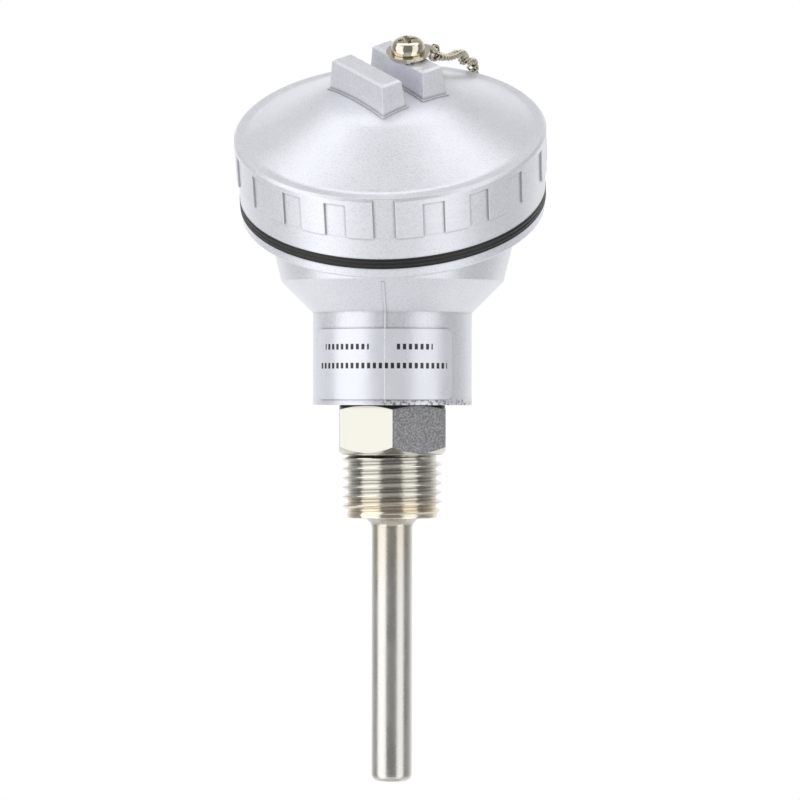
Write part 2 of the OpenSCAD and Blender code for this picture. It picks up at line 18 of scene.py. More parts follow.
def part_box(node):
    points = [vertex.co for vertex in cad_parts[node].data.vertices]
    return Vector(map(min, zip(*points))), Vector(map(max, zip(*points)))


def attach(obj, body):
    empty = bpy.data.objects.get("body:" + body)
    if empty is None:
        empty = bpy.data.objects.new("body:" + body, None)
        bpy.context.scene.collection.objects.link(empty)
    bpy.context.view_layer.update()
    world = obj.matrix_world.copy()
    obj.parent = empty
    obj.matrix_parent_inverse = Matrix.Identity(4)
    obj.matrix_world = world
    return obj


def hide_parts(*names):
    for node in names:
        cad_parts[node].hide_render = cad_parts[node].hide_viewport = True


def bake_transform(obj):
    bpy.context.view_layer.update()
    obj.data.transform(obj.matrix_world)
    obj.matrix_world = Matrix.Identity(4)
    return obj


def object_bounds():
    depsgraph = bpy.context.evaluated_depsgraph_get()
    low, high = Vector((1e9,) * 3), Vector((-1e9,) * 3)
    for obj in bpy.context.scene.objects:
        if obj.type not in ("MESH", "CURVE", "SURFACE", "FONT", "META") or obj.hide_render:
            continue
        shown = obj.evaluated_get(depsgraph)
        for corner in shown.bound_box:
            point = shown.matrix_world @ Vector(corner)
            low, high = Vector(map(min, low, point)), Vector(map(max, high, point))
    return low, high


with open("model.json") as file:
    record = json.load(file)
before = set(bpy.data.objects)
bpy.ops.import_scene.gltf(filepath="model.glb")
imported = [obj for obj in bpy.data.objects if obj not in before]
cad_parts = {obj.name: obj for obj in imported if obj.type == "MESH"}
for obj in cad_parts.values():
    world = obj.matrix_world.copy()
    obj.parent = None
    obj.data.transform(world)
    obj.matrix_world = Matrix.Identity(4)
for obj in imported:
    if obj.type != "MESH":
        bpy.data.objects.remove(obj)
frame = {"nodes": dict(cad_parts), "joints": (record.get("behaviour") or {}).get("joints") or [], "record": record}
low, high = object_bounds()
MM = 0.001
size = [round((b - a) / MM, 1) for a, b in zip(low, high)]
print(len(frame["nodes"]), "nodes in a box of", size, "mm")

# %% Sizes that both a finish and a shape need
HEX_ACROSS = 17.0
HEX_TURN = math.radians(5.5)
cap_joint = next(joint for joint in frame["joints"] if joint["name"] == "cap_spin")
cap_middle = Vector(cap_joint["pos_m"])
cap_axis = Vector(cap_joint["axis"]).normalized()
print("the cap turns about", [round(part, 3) for part in cap_axis])

# %% [markdown]
# ## The camera
#
# A long lens from about 0.6 m, level with the neck and a little to the right of the head's plane of
# symmetry. A long lens keeps the stem's sides parallel, so the eye can judge the sizes.

# %% Place the camera
TURN = math.radians(4.85)
NOD = math.radians(0.048)
LEAN = math.radians(-0.09)
STAND = Vector((1.25, -600.7, 9.61)) * MM
camera = bpy.data.objects.new("camera", bpy.data.cameras.new("camera"))
bpy.context.scene.collection.objects.link(camera)
camera.data.lens = 167.6
camera.data.sensor_width = 36
camera.data.clip_start = 0.01
right = Vector((math.cos(LEAN), -math.sin(LEAN) * math.sin(NOD), -math.sin(LEAN) * math.cos(NOD)))
forward = Vector((0, math.cos(NOD), -math.sin(NOD)))
up = right.cross(forward)
camera.matrix_world = (
    Matrix.Rotation(TURN, 4, "Z")
    @ Matrix.Translation(STAND)
    @ Matrix((right, up, -forward)).transposed().to_4x4()
)
bpy.context.scene.camera = camera
print("camera at mm:", [round(v / MM, 1) for v in camera.matrix_world.translation])

# %% [markdown]
# ## Shader maths as plain Python
#
# A node tree is easier to read as a formula. `Term` wraps one output socket, and its operators add
# Math nodes. `Nodes` holds a tree, and its one method `add` makes any other node: the type, the
# settings that must be set first, then the values or links of its inputs. The same two classes
# serve materials, the world and Geometry Nodes.


# %% A socket that can be added, multiplied and compared
class Term:
    def __init__(self, nodes, socket):
        self.nodes = nodes
        self.socket = socket

    def _math(self, operation, *values):
        return self.nodes.add("ShaderNodeMath", {"operation": operation}, *values)

    def __add__(self, other):
        return self._math("ADD", self, other)

    def __radd__(self, other):
        return self._math("ADD", other, self)

    def __sub__(self, other):
        return self._math("SUBTRACT", self, other)

    def __rsub__(self, other):
        return self._math("SUBTRACT", other, self)

    def __mul__(self, other):
        return self._math("MULTIPLY", self, other)

    def __rmul__(self, other):
        return self._math("MULTIPLY", other, self)

    def __truediv__(self, other):
        return self._math("DIVIDE", self, other)

    def __gt__(self, other):
        return self._math("GREATER_THAN", self, other)

    def __lt__(self, other):
        return self._math("LESS_THAN", self, other)

    def of(self, operation, *more):
        """Any other maths on this value, by the name of the operation."""
        return self._math(operation, self, *more)

    def sibling(self, title):
        """Another output of the node that this value comes from."""
        return Term(self.nodes, self.socket.node.outputs[title])


# %% Trees whose nodes are made by one method
class Nodes:
    def __init__(self, tree):
        self.tree = tree
        self.tree.nodes.clear()

    def fill(self, socket, value):
        """Link a term to a socket, or write a plain value into it."""
        if isinstance(value, Term):
            self.tree.links.new(value.socket, socket)
        else:
            socket.default_value = value

    def add(self, kind, settings=None, *values, out=0, **named):
        """A new node. The values fill its sockets in order, and the named ones by their title."""
        node = self.tree.nodes.new(kind)
        for key, value in (settings or {}).items():
            setattr(node, key, value)
        for key, value in enumerate(values):
            self.fill(node.inputs[key], value)
        for title, value in named.items():
            self.fill(node.inputs[title.replace("_", " ")], value)
        return Term(self, node.outputs[out]) if node.outputs else None

    def split(self, vector):
        """The three parts of a vector."""
        part = self.add("ShaderNodeSeparateXYZ", None, vector)
        return part, part.sibling("Y"), part.sibling("Z")

    def fade(self, value, start, end, low=0.0, high=1.0):
        """A smooth step from low to high while value goes from start to end."""
        smooth = {"interpolation_type": "SMOOTHSTEP"}
        return self.add("ShaderNodeMapRange", smooth, value, start, end, low, high)


print("terms and trees ready")

# %% [markdown]
# ## What a finish is made of
#
# A finish is a formula on the place of a point: clouds of noise, steps along an axis, and two masks
# that follow the shape. Edges for a painted highlight are found where the bevel node turns the
# normal away from the face's own. Corners for painted shade are found where short rays from the
# surface soon meet metal again.
# Painted images could carry all this, but a formula needs no file and has no seam.

# %% Materials, with the helpers that their formulas need
FEW_RAYS = {"samples": 6}


class Finish(Nodes):
    def __init__(self, name):
        self.material = bpy.data.materials.new(name)
        self.material.use_nodes = True
        super().__init__(self.material.node_tree)

    def place(self):
        """A point of the piece, and its three coordinates in metres."""
        spot = self.add("ShaderNodeTexCoord", out="Object")
        return spot, *self.split(spot)

    def stretch(self, spot, x, y, z):
        return self.add("ShaderNodeVectorMath", {"operation": "MULTIPLY"}, spot, (x, y, z))

    def noise(self, spot, size, detail=3.0, rough=0.6):
        """Cloudy noise whose lumps are about size millimetres across."""
        lumps = {"Scale": 1 / (size * MM), "Detail": detail, "Roughness": rough}
        return self.add("ShaderNodeTexNoise", None, Vector=spot, **lumps)

    def mix(self, share, first, second):
        """One colour where share is 0, the other where it is 1."""
        mixed = self.add("ShaderNodeMix", {"data_type": "RGBA"}, share, out=2)
        for place, colour in ((6, first), (7, second)):
            self.fill(mixed.socket.node.inputs[place], colour)
        return mixed

    def bump(self, height, depth, soft_edge=0.0):
        """Relief of depth millimetres, over edges rounded in shading by soft_edge millimetres."""
        named = {"Height": height, "Distance": depth * MM}
        if soft_edge:
            named["Normal"] = self.add("ShaderNodeBevel", FEW_RAYS, soft_edge * MM)
        return self.add("ShaderNodeBump", None, **named)

    def edges(self, reach):
        """1 on edges, falling to 0 within about reach millimetres of them."""
        rounded = self.add("ShaderNodeBevel", FEW_RAYS, reach * MM)
        plain = self.add("ShaderNodeNewGeometry", out="Normal")
        dot = {"operation": "DOT_PRODUCT"}
        facing = self.add("ShaderNodeVectorMath", dot, rounded, plain, out="Value")
        # This mask marks where a painted highlight goes on an edge.
        return self.fade(facing, 0.998, 0.90)

    def corners(self, reach):
        """1 in inner corners, falling to 0 within about reach millimetres of them."""
        opening = self.add("ShaderNodeAmbientOcclusion", FEW_RAYS, out="AO", Distance=reach * MM)
        # This mask marks where painted shade goes in an inner corner.
        return self.fade(opening, 0.96, 0.62)

    def surface(self, **named):
        shader = self.add("ShaderNodeBsdfPrincipled", None, **named)
        self.add("ShaderNodeOutputMaterial", None, shader)
        return self.material


def rgb(r, g, b):
    return (r, g, b, 1.0)


print("finish helpers ready")

# %% [markdown]
# ## The die-cast head
#
# The head and its cap are cast aluminium under a thin silvery lacquer. The lacquer makes it pale
# and a little lilac, a fine grain breaks up every reflection, and wide soft highlights slide over
# the curves. The bevel node rounds each casting edge in shading, where a real die has a small
# radius. A painted highlight makes the edges bright, painted shade makes the corners dark, and
# the lacquer is chipped at the neck's lower end.

# %% Cast metal under silver lacquer
cast = Finish("silver_casting")
spot, x, y, z = cast.place()
grain = cast.noise(spot, 0.28, 2.0)
cloud = cast.noise(spot, 5.0, 3.0)
tint = cast.mix(cloud, rgb(0.80, 0.82, 0.885), rgb(0.91, 0.925, 0.985))
bright_grain = cast.fade(grain, 0.42, 0.70) * 0.5
dark_grain = cast.fade(grain, 0.46, 0.34) * 0.35
lacquer = cast.mix(bright_grain, tint, rgb(0.95, 0.96, 1.0))
lacquer = cast.mix(dark_grain, lacquer, rgb(0.60, 0.615, 0.655))
ragged = cast.fade(cast.noise(spot, 0.55, 3.0, 0.7), 0.53, 0.57)
chips = ragged * cast.fade(z, 9.7 * MM, 8.8 * MM) * cast.fade(x, -2 * MM, 1 * MM)
print("lacquer over", cast.material.name)

# %% Its painted edge highlights and corner shade, and the whole finish
# Painted highlight: the edges turn white in the base colour.
glint_painted_lacquer = cast.mix(cast.edges(0.22), lacquer, rgb(1.0, 1.0, 1.0))
# Painted shade: the inner corners turn dark in the base colour.
shaded = cast.mix(cast.corners(0.55) * 0.85, glint_painted_lacquer, rgb(0.32, 0.33, 0.35))
casting = cast.surface(
    Base_Color=cast.mix(chips * 0.75, shaded, rgb(0.16, 0.16, 0.17)),
    Metallic=0.45,
    Roughness=cast.fade(grain, 0.3, 0.7, 0.28, 0.40),
    Normal=cast.bump(grain + chips * 2, 0.03, soft_edge=0.22),
)
print("finish:", casting.name)

# %% [markdown]
# ## Steel
#
# The fitting is turned from stainless hexagon bar and the stem is drawn tube. Turning leaves fine
# rings, drawing leaves fine lines along the tube, and the heat of the weld leaves straw colour on
# the metal beside it. Every second flat of the hexagon is rougher and pitted, and painted shade
# makes it far darker than the others, which are bright.

# %% Which flats of the hexagon are rough and painted with shade
steel = Finish("turned_steel")
spot, x, y, z = steel.place()


def flat_at(turn):
    """1 on the flat that faces turn degrees from the first."""
    a = HEX_TURN + math.radians(turn)
    return x * math.cos(a) + y * math.sin(a) > (HEX_ACROSS / 2 - 0.04) * MM


dull_and_shaded = flat_at(-60).of("MAXIMUM", flat_at(60)).of("MAXIMUM", flat_at(180))
print("dull flats marked in", steel.material.name)

# %% Turned and milled steel of the fitting
rings = steel.noise(steel.stretch(spot, 0.05, 0.05, 1.0), 0.10, 2.0)
mottle = steel.noise(spot, 0.35, 3.0)
turned = steel.mix(mottle, rgb(0.72, 0.705, 0.65), rgb(0.86, 0.845, 0.79))
bright_flat = steel.mix(mottle, rgb(0.60, 0.59, 0.53), rgb(0.69, 0.68, 0.62))
pits = steel.fade(steel.noise(spot, 0.30, 3.0), 0.40, 0.62)
# Painted shade: every second flat is coloured far darker than the bright ones, and pitted.
pitted_shaded_flat = steel.mix(pits, rgb(0.20, 0.20, 0.21), rgb(0.36, 0.36, 0.365))
metal = steel.mix(z > 0.3 * MM, turned, steel.mix(dull_and_shaded, bright_flat, pitted_shaded_flat))
# Painted shade: inner corners, such as the thread's roots, are darkened in the base colour.
corner_shaded_metal = steel.mix(steel.corners(0.7) * 0.5, metal, rgb(0.16, 0.15, 0.13))
heat = steel.fade(z, -5.5 * MM, -8.5 * MM) * steel.fade(z, -10.2 * MM, -9.3 * MM)
fitting_steel = steel.surface(
    Base_Color=steel.mix(heat * 0.4, corner_shaded_metal, rgb(0.80, 0.66, 0.42)),
    Metallic=1.0,
    Roughness=steel.fade(mottle, 0.3, 0.7, 0.15, 0.24) + dull_and_shaded * 0.20,
    Normal=steel.bump(rings + mottle * 0.6, 0.004, soft_edge=0.12),
)
print("finish:", fitting_steel.name)

# %% Drawn tube of the stem
tube = Finish("drawn_tube")
spot, x, y, z = tube.place()
lines = tube.noise(tube.stretch(spot, 1.0, 1.0, 0.02), 0.14, 2.0)
stain = tube.noise(tube.stretch(spot, 1.0, 1.0, 0.35), 2.6, 4.0)
heat = tube.fade(z, -24 * MM, -10.5 * MM)
plain = tube.mix(stain, rgb(0.64, 0.625, 0.59), rgb(0.80, 0.785, 0.745))
stem_steel = tube.surface(
    Base_Color=tube.mix(heat * 0.35, plain, rgb(0.66, 0.55, 0.38)),
    Metallic=1.0,
    Roughness=tube.fade(stain, 0.3, 0.7, 0.24, 0.34),
    Normal=tube.bump(lines, 0.004),
)
print("finish:", stem_steel.name)

# %% [markdown]
# ## Nickel, rubber and the pieces inside
#
# Nickel plate over brass has a yellow cast and a sharp shine. The chain's plate is tarnished in
# clouds, and painted shade darkens it where its links meet. The gasket and grommet are black
# rubber with a faint bloom, and two fine ribs run round the gasket. Inside are a brown moulded
# terminal block, brass bars, zinc-plated screws, coloured leads and white ceramic, which only a
# view with the cap lifted would show.


# %% A helper for a finish that is clouded between two colours
def clouded(name, dark, pale, metallic, rough, size, depth, soft_edge=0.0):
    """Clouds and relief of one noise, whose lumps are size mm across and depth mm deep."""
    made = Finish(name)
    spot, *_ = made.place()
    cloud = made.noise(spot, size, 3.0)
    return made.surface(
        Base_Color=made.mix(cloud, rgb(*dark), rgb(*pale)),
        Metallic=metallic,
        Roughness=made.fade(cloud, 0.3, 0.7, rough - 0.05, rough + 0.05),
        Normal=made.bump(cloud, depth, soft_edge),
    )


METAL, NOT_METAL = 1.0, 0.0
nickel = clouded(
    "nickel_plate", (0.60, 0.54, 0.43), (0.84, 0.78, 0.66), METAL,
    rough=0.12, size=0.45, depth=0.004, soft_edge=0.05,
)
print("finish:", nickel.name)

# %% Nickel of the chain, tarnished in clouds, with painted shade between its links
links_nickel = Finish("chain_nickel")
spot, x, y, z = links_nickel.place()
tarnish = links_nickel.noise(spot, 0.8, 3.0)
plate = links_nickel.mix(tarnish, rgb(0.48, 0.42, 0.32), rgb(0.80, 0.74, 0.62))
chain_nickel = links_nickel.surface(
    # Painted shade: the colour is darkened where the links meet.
    Base_Color=links_nickel.mix(links_nickel.corners(0.5) * 0.85, plate, rgb(0.09, 0.07, 0.05)),
    Metallic=1.0,
    Roughness=links_nickel.fade(tarnish, 0.3, 0.7, 0.10, 0.2),
)
print("finish:", chain_nickel.name)

# %% Finishes of the pieces inside, and of the weld
moulding = clouded(
    "brown_moulding", (0.10, 0.045, 0.025), (0.15, 0.07, 0.04), NOT_METAL,
    rough=0.35, size=0.9, depth=0.01, soft_edge=0.15,
)
brass = clouded(
    "bare_brass", (0.66, 0.46, 0.19), (0.78, 0.58, 0.28), METAL,
    rough=0.28, size=0.5, depth=0.004, soft_edge=0.08,
)
zinc = clouded(
    "zinc_plate", (0.60, 0.61, 0.62), (0.72, 0.73, 0.74), METAL,
    rough=0.27, size=0.4, depth=0.004, soft_edge=0.06,
)
ceramic = clouded(
    "white_ceramic", (0.74, 0.73, 0.69), (0.82, 0.81, 0.78), NOT_METAL,
    rough=0.55, size=0.7, depth=0.01,
)
resin = clouded(
    "potting_resin", (0.025, 0.025, 0.028), (0.05, 0.05, 0.055), NOT_METAL,
    rough=0.30, size=1.2, depth=0.02,
)
sleeve = clouded(
    "lead_sleeve", (0.50, 0.05, 0.035), (0.62, 0.09, 0.06), NOT_METAL,
    rough=0.42, size=0.6, depth=0.005,
)
weld = clouded(
    "weld_metal", (0.50, 0.46, 0.39), (0.78, 0.74, 0.67), METAL,
    rough=0.26, size=0.5, depth=0.02,
)
print("finishes:", [made.name for made in (moulding, brass, zinc, ceramic, resin, sleeve, weld)])

# %% Rubber, with fine ribs that follow the cap's axis
RIB_PITCH = 0.65 * MM
black = Finish("black_rubber")
spot, x, y, z = black.place()
along = y * cap_axis.y + z * cap_axis.z - cap_middle.dot(cap_axis)
ribs = (along * (2 * math.pi / RIB_PITCH)).of("SINE")
bloom = black.noise(spot, 0.5, 3.0)
dusty = black.fade(ribs, 0.2, 0.9) * 0.6 + bloom * 0.3
rubber = black.surface(
    Base_Color=black.mix(dusty, rgb(0.002, 0.002, 0.002), rgb(0.035, 0.035, 0.035)),
    Metallic=0.0,
    Roughness=black.fade(bloom, 0.3, 0.7, 0.40, 0.55),
    Normal=black.bump(ribs, 0.05),
)
print("finish:", rubber.name)


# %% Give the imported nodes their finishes
def dress(finish, *nodes):
    for name in nodes:
        slots = frame["nodes"][name].data.materials
        if not slots:
            slots.append(finish)
        for i in range(len(slots)):
            slots[i] = finish


dress(casting, "head_housing", "screw_cap", "gland_nut")
dress(stem_steel, "sheath_tube")
dress(rubber, "cap_gasket", "gland_grommet")
dress(nickel, "cap_washer", "cap_lug", "anchor_lug", "anchor_screw")
dress(moulding, "terminal_block")
dress(brass, "terminal_bars")
dress(zinc, "clamp_washers", "terminal_screws", "block_screws", "gland_washer")
dress(ceramic, "sensing_element", "insulator")
dress(resin, "end_seal")
dress(sleeve, "lead_wires")
print("nodes dressed")

# %% [markdown]
# ## Pieces made of rings
#
# A turned piece, or one that is nearly turned, is a grid: one row of points round the axis for each
# step along its profile. Spin would do for a plain turned piece, but a grid also makes a thread,
# because its rows can climb by one pitch on their way round. The rows close on themselves, so the
# mesh has no open edge.


# %% Finish off a mesh, and give it to the frame
def close_mesh(name, mesh, smooth_to=35):
    """Merge doubled points, turn the faces outwards and shade smooth up to an angle in degrees."""
    work = bmesh.new()
    work.from_mesh(mesh)
    bmesh.ops.remove_doubles(work, verts=work.verts, dist=1e-7)
    bmesh.ops.recalc_face_normals(work, faces=work.faces)
    work.to_mesh(mesh)
    work.free()
    mesh.shade_smooth()
    mesh.set_sharp_from_angle(angle=math.radians(smooth_to))
    piece = bpy.data.objects.new(name, mesh)
    bpy.context.scene.collection.objects.link(piece)
    return piece


def as_mesh(piece):
    """What a piece and its modifiers come to, as a plain mesh."""
    return bpy.data.meshes.new_from_object(
        piece.evaluated_get(bpy.context.evaluated_depsgraph_get())
    )


def finish_piece(piece, finish, slot, body, *nodes):
    """Give a piece its finish and its body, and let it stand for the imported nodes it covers."""
    piece.data.materials.clear()
    piece.data.materials.append(finish)
    if body:
        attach(piece, body)
    if nodes:
        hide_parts(*nodes)
    print(piece.name, "has", len(piece.data.polygons), "faces")


print("mesh helpers ready")


# %% Turn rows of points into a closed mesh
def even_turn(count):
    """Angles that share a full turn evenly."""
    return np.arange(count) * 2 * math.pi / count


def turned_rows(profile, angles):
    """A row for each (radius, height) of a profile. Either may have a value for each angle."""
    cos, sin = np.cos(angles), np.sin(angles)
    return [np.stack([r * cos, r * sin, h + 0 * cos], axis=1) for r, h in profile]


def ring_piece(name, rows, climb=0, climbing=0):
    """A closed grid of rows in mm. The first rows, climbing of them, climb by climb rows a turn."""
    rows = np.asarray(rows, float)
    count, around = rows.shape[:2]
    faces = []
    for i in range(count):
        after = (i + 1) % count
        for j in range(around):
            k = (j + 1) % around
            near, far = i, after
            if k == 0 and i < climbing - 1:
                near, far = min(i + climb, climbing - 1), min(after + climb, climbing - 1)
            corners = ((i, j), (near, k), (far, k), (after, j))
            faces.append([row * around + column for row, column in corners])
    mesh = bpy.data.meshes.new(name)
    mesh.from_pydata((rows.reshape(-1, 3) * MM).tolist(), [], faces)
    return close_mesh(name, mesh)


print("ring helpers ready")

# %% [markdown]
# ## The threaded fitting
#
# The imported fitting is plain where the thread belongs. Here the thread is cut for real: rows run
# along crest, flank and root, and each climbs 1.5 mm a turn, to the right as on any M16 x 1.5. The
# profile is the metric one, with a flat crest, a wider flat root and 30 degree flanks. The hexagon
# is part of the same grid: its radius is that of a flat at each angle, and a cone cuts each end,
# which leaves the curved scallops that a chamfered nut shows.

# %% Sizes of the fitting
mounts = {mount["name"]: mount for mount in frame["record"]["mounts"]}
THREAD_R = mounts["process_thread"]["dims"]["r_mm"]
STEM_R = mounts["stem"]["dims"]["r_mm"]
PITCH, THREAD_DEPTH = 1.5, 0.92
FITTING_LOW, FITTING_HIGH = (corner[2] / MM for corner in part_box("process_fitting"))
NECK_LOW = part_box("head_housing")[0][2] / MM
SEAT_R, SEAL_R, SEAL_LOW = STEM_R - 0.2, 4.55, 6.0
steps_round = 144
angles = HEX_TURN + even_turn(steps_round)
print("thread radius", THREAD_R, "mm, fitting from", round(FITTING_LOW, 2), "mm")

# %% Radius of the thread at any height
PHASES = [0, 0.02, 0.105, 0.125, 0.405, 0.47, 0.655, 0.72]
DEPTHS = [0.04, 0, 0, 0.04, 0.9, 1, 1, 0.9]
THREAD_START, THREAD_TOP, THREAD_TURNS = -11.831, 0.3, 10
CONE_TOP, CONE_LOW, LAST_GROOVE = -8.3, -9.15, -9.1
CONE_R = THREAD_R - 0.75


def smooth_step(value, start, end):
    t = np.clip((value - start) / (end - start), 0, 1)
    return t * t * (3 - 2 * t)


def thread_radius(height, part_turn):
    """Radius at a height in mm and a part of a turn round from the first column."""
    phase = ((height - THREAD_START) / PITCH - part_turn) % 1.0
    depth = np.interp(phase, PHASES + [1], DEPTHS + DEPTHS[:1])
    depth = np.maximum(depth, smooth_step(height, -0.2, 0.05))
    heights = [FITTING_LOW, FITTING_LOW + 0.1, CONE_LOW, CONE_TOP]
    end_cone = np.interp(height, heights, [CONE_R - 0.1, CONE_R, CONE_R, THREAD_R])
    radius = np.minimum(THREAD_R - THREAD_DEPTH * depth, end_cone)
    return np.where(height < LAST_GROOVE, end_cone, radius)


print("thread", THREAD_DEPTH, "mm deep, one crest each", PITCH, "mm")

# %% Rows of the thread
part_turns = np.arange(steps_round) / steps_round
rows = []
for turn in range(THREAD_TURNS):
    for phase in PHASES:
        height = THREAD_START + (turn + phase + part_turns) * PITCH
        height = np.clip(height, FITTING_LOW, THREAD_TOP)
        rows += turned_rows([(thread_radius(height, part_turns), height)], angles)
thread_rows = len(rows)
print(thread_rows, "rows of thread")

# %% Rows of the hexagon, the hidden stub and the bore
FACE_R, TOP_R = THREAD_R + 0.15, HEX_ACROSS / 2 - 0.2
LOW_SLOPE, TOP_SLOPE = math.tan(math.radians(35)), math.tan(math.radians(26))
flat_turn = (angles - HEX_TURN + math.pi / 2) % (math.pi / 3) - math.pi / 6
hex_r = HEX_ACROSS / 2 / np.cos(flat_turn)
steps = (0, 0.25, 0.5, 0.75, 1)
profile = [(FACE_R - 0.08, THREAD_TOP), (FACE_R, THREAD_TOP + 0.06)]
for r in [FACE_R + (hex_r - FACE_R) * step for step in steps]:
    profile.append((r, 0.45 + (r - FACE_R) * LOW_SLOPE))
for r in [TOP_R + (hex_r - TOP_R) * step for step in reversed(steps)]:
    profile.append((r, NECK_LOW - (r - TOP_R) * TOP_SLOPE))
profile += [
    (THREAD_R, NECK_LOW), (THREAD_R, FITTING_HIGH), (SEAL_R, FITTING_HIGH),
    (SEAL_R, SEAL_LOW), (SEAT_R, SEAL_LOW), (SEAT_R, FITTING_LOW),
]
rows += turned_rows(profile, angles)
fitting = ring_piece("threaded_fitting", rows, climb=len(PHASES), climbing=thread_rows)
finish_piece(fitting, fitting_steel, "fitting_steel", "head", "process_fitting")

# %% [markdown]
# ## The weld
#
# The stem is welded under the fitting, and the bead flows out like the mouth of a trumpet. It is a
# grid again, with a curve for its profile and faint ripples where the pool froze step by step.
# Ripples made by bump alone would leave its outline too smooth.

# %% Weld bead
BEAD_R, FLARE, RIPPLES = STEM_R + 0.03, 1.9, 22
weld_low, weld_high = (corner[2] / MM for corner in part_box("weld_bead"))
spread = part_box("weld_bead")[1][0] / MM - BEAD_R
bead_angles = even_turn(96)
profile = []
for step in np.linspace(0, 1, 13):
    ripple = 0.025 * math.sin(math.pi * step) * np.sin(RIPPLES * bead_angles + 3 * step)
    radius = BEAD_R + spread * (1 - step) ** FLARE + ripple
    profile.append((radius, weld_high + (weld_low - weld_high) * step))
profile += [(SEAT_R, weld_low), (SEAT_R, weld_high)]
bead = ring_piece("trumpet_weld", turned_rows(profile, bead_angles))
finish_piece(bead, weld, "weld", "head", "weld_bead")

# %% [markdown]
# ## The cap screw
#
# A polished pan head screw holds the chain on the cap. The head is a short turned profile. Its
# cross recess is cut by a boolean, because two crossed blades are far simpler to build than the
# hole they leave, and the result is made a plain mesh.

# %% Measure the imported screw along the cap's axis
lean = Vector((0, 0, 1)).rotation_difference(cap_axis).to_matrix().to_4x4()
cap_frame = Matrix.Translation(cap_middle) @ lean
screw_points = [v.co for v in frame["nodes"]["cap_screw"].data.vertices]
screw_points = np.array([cap_frame.inverted() @ point for point in screw_points]) / MM
screw_low, screw_high = screw_points.min(axis=0), screw_points.max(axis=0)
print("screw in the cap's frame:", screw_low.round(2), screw_high.round(2))

# %% Turn the pan head on its shank
HEAD_H, SHANK_R, FOOT_H, TIP_R = 2.0, 1.25, 0.12, 0.001
head_r = (screw_high[0] - screw_low[0]) / 2
shank = screw_high[2] - HEAD_H - screw_low[2]
profile = [(TIP_R, -shank), (SHANK_R, -shank), (SHANK_R, 0), (head_r - FOOT_H, 0), (head_r, FOOT_H)]
for a in np.radians(np.linspace(12, 88, 12)):
    profile.append((head_r * math.cos(a) ** 0.5, FOOT_H + (HEAD_H - FOOT_H) * math.sin(a) ** 0.8))
profile.append((TIP_R, HEAD_H))
screw = ring_piece("chain_screw", turned_rows(profile, even_turn(64)))
print("pan head", round(2 * head_r, 2), "mm across")

# %% Two tapered blades, crossed
RECESS_TURN, ABOVE, DEEP = math.radians(20), 0.3, -1.15
TOP_HALF, FOOT_HALF = (0.66 * head_r, 0.40), (0.3 * head_r, 0.26)
AROUND = ((-1, -1), (1, -1), (1, 1), (-1, 1))
BOX_FACES = ((0, 1, 2, 3), (7, 6, 5, 4), (0, 4, 5, 1), (1, 5, 6, 2), (2, 6, 7, 3), (3, 7, 4, 0))
blades = bmesh.new()
for a in (0, math.pi / 2):
    spun = Matrix.Rotation(a + RECESS_TURN, 3, "Z")
    verts = []
    for level, (wide, thin) in ((ABOVE, TOP_HALF), (DEEP, FOOT_HALF)):
        for sx, sy in AROUND:
            corner = spun @ Vector((sx * wide, sy * thin, level)) * MM
            verts.append(blades.verts.new(corner + Vector((0, 0, HEAD_H * MM))))
    for face in BOX_FACES:
        blades.faces.new([verts[i] for i in face])
bmesh.ops.recalc_face_normals(blades, faces=blades.faces)
blades_mesh = bpy.data.meshes.new("blades")
blades.to_mesh(blades_mesh)
blades.free()
print("blades have", len(blades_mesh.polygons), "faces")

# %% Cut the recess, and set the screw in its place
tool = bpy.data.objects.new("blades", blades_mesh)
bpy.context.scene.collection.objects.link(tool)
cut = screw.modifiers.new("recess", "BOOLEAN")
cut.operation, cut.solver, cut.object, cut.use_self = "DIFFERENCE", "EXACT", tool, True
cut_screw = as_mesh(screw)
bpy.data.objects.remove(tool)
bpy.data.objects.remove(screw)
screw_middle = (screw_low + screw_high) / 2
seat = Vector((screw_middle[0], screw_middle[1], screw_high[2] - HEAD_H)) * MM
cut_screw.transform(cap_frame @ Matrix.Translation(seat))
finish_piece(close_mesh("chain_screw", cut_screw), nickel, "nickel", "cap", "cap_screw")

# %% [markdown]
# ## The chain
#
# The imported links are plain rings, so they only say where each link is. A real chain of this kind
# is twisted: every link is the same round of wire, turned an eighth of a turn one way at its front
# and the other way at its back, so that it meets its neighbours square. Geometry Nodes suit it
# well. The tree bends one link, and sets a copy on each point of a curve through the middles of the
# packed ones. The upper part of the curve swings a little to the side, as a slack chain does.


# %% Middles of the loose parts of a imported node
def loose_parts(node):
    """For each loose part of a node: its middle, its reach and its flattest direction, in mm."""
    work = bmesh.new()
    work.from_mesh(frame["nodes"][node].data)
    bmesh.ops.remove_doubles(work, verts=work.verts, dist=1e-6)
    waiting, parts = set(work.verts), []
    while waiting:
        queue = [waiting.pop()]
        found = []
        while queue:
            vert = queue.pop()
            found.append(tuple(vert.co / MM))
            near = {edge.other_vert(vert) for edge in vert.link_edges} & waiting
            waiting -= near
            queue += near
        points = np.array(found)
        middle = (points.min(axis=0) + points.max(axis=0)) / 2
        away = points - middle
        flattest = np.linalg.eigh(away.T @ away)[1][:, 0]
        parts.append((middle, np.linalg.norm(away, axis=1).max(), flattest))
    work.free()
    return parts


def in_order(parts, start):
    """The parts from the one nearest to start, each followed by its nearest neighbour."""
    left, spot, ordered = list(parts), start, []
    while left:
        nearest = min(range(len(left)), key=lambda i: np.linalg.norm(left[i][0] - spot))
        ordered.append(left.pop(nearest))
        spot = ordered[-1][0]
    return ordered


lug_high = np.array(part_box("cap_lug")[1]) / MM
first_ring, *links, last_ring = in_order(loose_parts("chain_links"), lug_high)
print(len(links), "links between end rings of", round(first_ring[1], 2), "mm reach")


